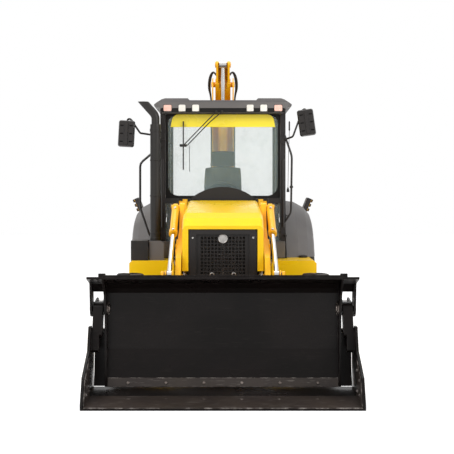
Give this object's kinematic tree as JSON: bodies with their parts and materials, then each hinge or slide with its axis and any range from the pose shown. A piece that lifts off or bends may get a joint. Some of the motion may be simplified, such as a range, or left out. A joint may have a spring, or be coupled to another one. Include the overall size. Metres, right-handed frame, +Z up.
{
  "type": "backhoe loader",
  "caption": "Wheeled backhoe loader with cab, front loader with clam-shell bucket, and a folded rear digger between stabilizer legs.",
  "frame": {"origin": "on the ground under the middle of the machine's overall box, wheels resting at Z = 0", "axes": "+Z up, the loader bucket towards -Y, the digger towards +Y, +X the machine's left hand"},
  "size_m": [2.4054, 6.9354, 3.612],
  "materials": {
    "yellow_paint": "satin",
    "black_paint": "satin",
    "grey_paint": "matte",
    "glass": "clear",
    "rod_chrome": "polished",
    "seat_cloth": "woven",
    "tyre_rubber": "matte"
  },
  "bodies": {
    "machine": {"chassis_frame": "black_paint", "backhoe_frame": "yellow_paint", "engine_block": "black_paint", "grille": "black_paint", "side_tanks": "yellow_paint", "rear_fenders": "grey_paint", "cab_frame": "grey_paint", "cab_glass": "glass", "cab_roof": "grey_paint", "seat": "seat_cloth", "steering_console": "black_paint", "exhaust_stack": "black_paint", "mirrors_and_handrails": "black_paint", "front_axle": "black_paint", "rear_axle": "black_paint"},
    "loader_arms": {"loader_arms": "yellow_paint"},
    "lift_barrels": {"lift_barrels": "yellow_paint"},
    "lift_rods": {"lift_rods": "rod_chrome"},
    "tilt_barrels": {"tilt_barrels": "yellow_paint"},
    "tilt_rods": {"tilt_rods": "rod_chrome"},
    "tilt_levers": {"tilt_levers": "yellow_paint"},
    "tilt_links": {"tilt_links": "yellow_paint"},
    "loader_bucket": {"loader_bucket": "yellow_paint"},
    "bucket_clam": {"bucket_clam": "yellow_paint"},
    "clam_barrels": {"clam_barrels": "yellow_paint"},
    "clam_rods": {"clam_rods": "rod_chrome"},
    "hood": {"hood": "yellow_paint"},
    "door_left": {"door_left": "grey_paint", "door_left_glass": "glass"},
    "door_right": {"door_right": "grey_paint", "door_right_glass": "glass"},
    "knuckle_left": {"knuckle_left": "black_paint"},
    "knuckle_right": {"knuckle_right": "black_paint"},
    "track_rod": {"track_rod": "black_paint"},
    "wheel_front_left": {"tyre_front_left": "tyre_rubber", "rim_front_left": "yellow_paint"},
    "wheel_front_right": {"tyre_front_right": "tyre_rubber", "rim_front_right": "yellow_paint"},
    "wheel_rear_left": {"tyre_rear_left": "tyre_rubber", "rim_rear_left": "yellow_paint"},
    "wheel_rear_right": {"tyre_rear_right": "tyre_rubber", "rim_rear_right": "yellow_paint"},
    "swing_post": {"swing_post": "yellow_paint"},
    "boom": {"boom": "yellow_paint"},
    "boom_barrel": {"boom_barrel": "yellow_paint"},
    "boom_rod": {"boom_rod": "rod_chrome"},
    "dipper": {"dipper": "yellow_paint"},
    "crowd_barrel": {"crowd_barrel": "yellow_paint"},
    "crowd_rod": {"crowd_rod": "rod_chrome"},
    "digger_bucket": {"digger_bucket": "yellow_paint"},
    "digger_levers": {"digger_levers": "yellow_paint"},
    "digger_link": {"digger_link": "yellow_paint"},
    "digger_barrel": {"digger_barrel": "yellow_paint"},
    "digger_rod": {"digger_rod": "rod_chrome"},
    "stabilizer_leg_left": {"stabilizer_leg_left": "yellow_paint"},
    "stabilizer_barrel_left": {"stabilizer_barrel_left": "black_paint"},
    "stabilizer_rod_left": {"stabilizer_rod_left": "rod_chrome"},
    "stabilizer_leg_right": {"stabilizer_leg_right": "yellow_paint"},
    "stabilizer_barrel_right": {"stabilizer_barrel_right": "black_paint"},
    "stabilizer_rod_right": {"stabilizer_rod_right": "rod_chrome"}
  },
  "joints": [
    {"name": "loader_lift", "type": "hinge", "parent": "machine", "child": "loader_arms", "pos_m": [0, -0.405, 1.64], "axis": [-1, 0, 0], "range_deg": [-3, 75]},
    {"name": "lift_barrel_swing", "type": "hinge", "parent": "machine", "child": "lift_barrels", "pos_m": [0, -0.305, 0.86], "axis": [-1, 0, 0], "range_deg": [-2.54, 49.09]},
    {"name": "lift_rod_slide", "type": "slide", "parent": "lift_barrels", "child": "lift_rods", "axis": [0, -0.9817, 0.1906], "range_m": [-0.03099, 0.72676]},
    {"name": "bucket_tilt", "type": "hinge", "parent": "loader_arms", "child": "loader_bucket", "pos_m": [0, -2.585, 0.34], "axis": [1, 0, 0], "range_deg": [-38, 117]},
    {"name": "tilt_lever_swing", "type": "hinge", "parent": "loader_arms", "child": "tilt_levers", "pos_m": [0, -2.269, 0.761], "axis": [1, 0, 0], "range_deg": [-27.2, 82.5]},
    {"name": "tilt_link_swing", "type": "hinge", "parent": "loader_bucket", "child": "tilt_links", "pos_m": [0, -2.715, 0.549], "axis": [1, 0, 0], "range_deg": [-108.83, 35.75]},
    {"name": "tilt_barrel_swing", "type": "hinge", "parent": "loader_arms", "child": "tilt_barrels", "pos_m": [0, -1.178, 1.641], "axis": [1, 0, 0], "range_deg": [-2.69, 7.04]},
    {"name": "tilt_rod_slide", "type": "slide", "parent": "tilt_barrels", "child": "tilt_rods", "axis": [0, -0.8931, -0.4498], "range_m": [-0.11885, 0.36178]},
    {"name": "clam_open", "type": "hinge", "parent": "loader_bucket", "child": "bucket_clam", "pos_m": [0, -2.815, 0.76], "axis": [-1, 0, 0], "range_deg": [0, 75]},
    {"name": "clam_barrel_swing", "type": "hinge", "parent": "loader_bucket", "child": "clam_barrels", "pos_m": [0, -2.655, 0.23], "axis": [-1, 0, 0], "range_deg": [-13.23, 0.6]},
    {"name": "clam_rod_slide", "type": "slide", "parent": "clam_barrels", "child": "clam_rods", "axis": [0, 0.0175, 0.9998], "range_m": [-0.18807, 0.002]},
    {"name": "hood_open", "type": "hinge", "parent": "machine", "child": "hood", "pos_m": [0, -0.477, 1.65], "axis": [-1, 0, 0], "range_deg": [0, 50]},
    {"name": "door_left_open", "type": "hinge", "parent": "machine", "child": "door_left", "pos_m": [0.72, 0.705, 1.9], "axis": [0, 0, 1], "range_deg": [0, 80]},
    {"name": "door_right_open", "type": "hinge", "parent": "machine", "child": "door_right", "pos_m": [-0.72, 0.705, 1.9], "axis": [0, 0, -1], "range_deg": [0, 80]},
    {"name": "steer_left", "type": "hinge", "parent": "machine", "child": "knuckle_left", "pos_m": [0.735, -1.43, 0.482], "axis": [0, 0, 1], "range_deg": [-45, 45]},
    {"name": "steer_right", "type": "hinge", "parent": "machine", "child": "knuckle_right", "pos_m": [-0.735, -1.43, 0.482], "axis": [0, 0, 1], "range_deg": [-45, 45]},
    {"name": "track_rod_shift", "type": "slide", "parent": "machine", "child": "track_rod", "axis": [1, 0, 0], "range_m": [-0.115, 0.115]},
    {"name": "wheel_front_left_turn", "type": "hinge", "parent": "knuckle_left", "child": "wheel_front_left", "pos_m": [0.96, -1.43, 0.482], "axis": [1, 0, 0], "continuous": true},
    {"name": "wheel_rear_left_turn", "type": "hinge", "parent": "machine", "child": "wheel_rear_left", "pos_m": [0.885, 0.745, 0.715], "axis": [1, 0, 0], "continuous": true},
    {"name": "wheel_front_right_turn", "type": "hinge", "parent": "knuckle_right", "child": "wheel_front_right", "pos_m": [-0.96, -1.43, 0.482], "axis": [1, 0, 0], "continuous": true},
    {"name": "wheel_rear_right_turn", "type": "hinge", "parent": "machine", "child": "wheel_rear_right", "pos_m": [-0.885, 0.745, 0.715], "axis": [1, 0, 0], "continuous": true},
    {"name": "swing", "type": "hinge", "parent": "machine", "child": "swing_post", "pos_m": [0, 2.125, 0.64], "axis": [0, 0, 1], "range_deg": [-90, 90]},
    {"name": "boom_lower", "type": "hinge", "parent": "swing_post", "child": "boom", "pos_m": [0, 2.275, 0.72], "axis": [-1, 0, 0], "range_deg": [0, 130]},
    {"name": "boom_barrel_swing", "type": "hinge", "parent": "swing_post", "child": "boom_barrel", "pos_m": [0, 2.192, 0.901], "axis": [-1, 0, 0], "range_deg": [-0.6, 132.22]},
    {"name": "boom_rod_slide", "type": "slide", "parent": "boom_barrel", "child": "boom_rod", "axis": [0, -0.0856, 0.9963], "range_m": [-0.002, 0.36187]},
    {"name": "dipper_out", "type": "hinge", "parent": "boom", "child": "dipper", "pos_m": [0, 2.045, 3.3], "axis": [1, 0, 0], "range_deg": [0, 115]},
    {"name": "crowd_barrel_swing", "type": "hinge", "parent": "boom", "child": "crowd_barrel", "pos_m": [0, 2.09092, 2.10914], "axis": [1, 0, 0], "range_deg": [-0.6, 6.93]},
    {"name": "crowd_rod_slide", "type": "slide", "parent": "crowd_barrel", "child": "crowd_rod", "axis": [0, -0.1204, 0.9927], "range_m": [-0.47403, 0.002]},
    {"name": "digger_curl_out", "type": "hinge", "parent": "dipper", "child": "digger_bucket", "pos_m": [0, 3.29321, 1.80185], "axis": [1, 0, 0], "range_deg": [0, 155]},
    {"name": "digger_lever_swing", "type": "hinge", "parent": "dipper", "child": "digger_levers", "pos_m": [0, 3.04357, 2.10148], "axis": [1, 0, 0], "range_deg": [-0.6, 69.53]},
    {"name": "digger_link_swing", "type": "hinge", "parent": "digger_bucket", "child": "digger_link", "pos_m": [0, 3.40945, 1.63577], "axis": [1, 0, 0], "range_deg": [-153.3, 0.6]},
    {"name": "digger_barrel_swing", "type": "hinge", "parent": "dipper", "child": "digger_barrel", "pos_m": [0, 2.40015, 3.09088], "axis": [1, 0, 0], "range_deg": [-0.6, 7.5]},
    {"name": "digger_rod_slide", "type": "slide", "parent": "digger_barrel", "child": "digger_rod", "axis": [0, 0.6872, -0.7264], "range_m": [-0.37443, 0.002]},
    {"name": "stabilizer_left_lower", "type": "hinge", "parent": "machine", "child": "stabilizer_leg_left", "pos_m": [0.42, 1.645, 0.65], "axis": [0, 1, 0], "range_deg": [0, 95]},
    {"name": "stabilizer_left_barrel_swing", "type": "hinge", "parent": "machine", "child": "stabilizer_barrel_left", "pos_m": [0.22, 1.645, 1.42], "axis": [0, 1, 0], "range_deg": [-0.6, 11.49]},
    {"name": "stabilizer_left_rod_slide", "type": "slide", "parent": "stabilizer_barrel_left", "child": "stabilizer_rod_left", "axis": [0.5765, 0, -0.8171], "range_m": [-0.002, 0.41614]},
    {"name": "stabilizer_right_lower", "type": "hinge", "parent": "machine", "child": "stabilizer_leg_right", "pos_m": [-0.42, 1.645, 0.65], "axis": [0, -1, 0], "range_deg": [0, 95]},
    {"name": "stabilizer_right_barrel_swing", "type": "hinge", "parent": "machine", "child": "stabilizer_barrel_right", "pos_m": [-0.22, 1.645, 1.42], "axis": [0, -1, 0], "range_deg": [-0.6, 11.49]},
    {"name": "stabilizer_right_rod_slide", "type": "slide", "parent": "stabilizer_barrel_right", "child": "stabilizer_rod_right", "axis": [-0.5765, 0, -0.8171], "range_m": [-0.002, 0.41614]}
  ],
  "couplings": [
    {"joint": "lift_barrel_swing", "follows": "loader_lift", "ratio": 0.64653},
    {"joint": "lift_rod_slide", "follows": "loader_lift", "m_per_rad": 0.55368},
    {"joint": "tilt_lever_swing", "follows": "bucket_tilt", "ratio": 0.7},
    {"joint": "tilt_link_swing", "follows": "bucket_tilt", "ratio": -0.925},
    {"joint": "tilt_barrel_swing", "follows": "bucket_tilt", "ratio": 0.055},
    {"joint": "tilt_rod_slide", "follows": "bucket_tilt", "m_per_rad": 0.17619},
    {"joint": "clam_barrel_swing", "follows": "clam_open", "ratio": -0.16836},
    {"joint": "clam_rod_slide", "follows": "clam_open", "m_per_rad": -0.14215},
    {"joint": "steer_right", "follows": "steer_left", "ratio": 1},
    {"joint": "track_rod_shift", "follows": "steer_left", "m_per_rad": -0.13505},
    {"joint": "boom_barrel_swing", "follows": "boom_lower", "ratio": 1.0124},
    {"joint": "boom_rod_slide", "follows": "boom_lower", "m_per_rad": 0.15861},
    {"joint": "crowd_barrel_swing", "follows": "dipper_out", "ratio": 0.055015},
    {"joint": "crowd_rod_slide", "follows": "dipper_out", "m_per_rad": -0.23517},
    {"joint": "digger_lever_swing", "follows": "digger_curl_out", "ratio": 0.44471},
    {"joint": "digger_link_swing", "follows": "digger_curl_out", "ratio": -0.98514},
    {"joint": "digger_barrel_swing", "follows": "digger_curl_out", "ratio": 0.044515},
    {"joint": "digger_rod_slide", "follows": "digger_curl_out", "m_per_rad": -0.13767},
    {"joint": "stabilizer_left_barrel_swing", "follows": "stabilizer_left_lower", "ratio": 0.11464},
    {"joint": "stabilizer_left_rod_slide", "follows": "stabilizer_left_lower", "m_per_rad": 0.24977},
    {"joint": "stabilizer_right_barrel_swing", "follows": "stabilizer_right_lower", "ratio": 0.11464},
    {"joint": "stabilizer_right_rod_slide", "follows": "stabilizer_right_lower", "m_per_rad": 0.24977}
  ]
}
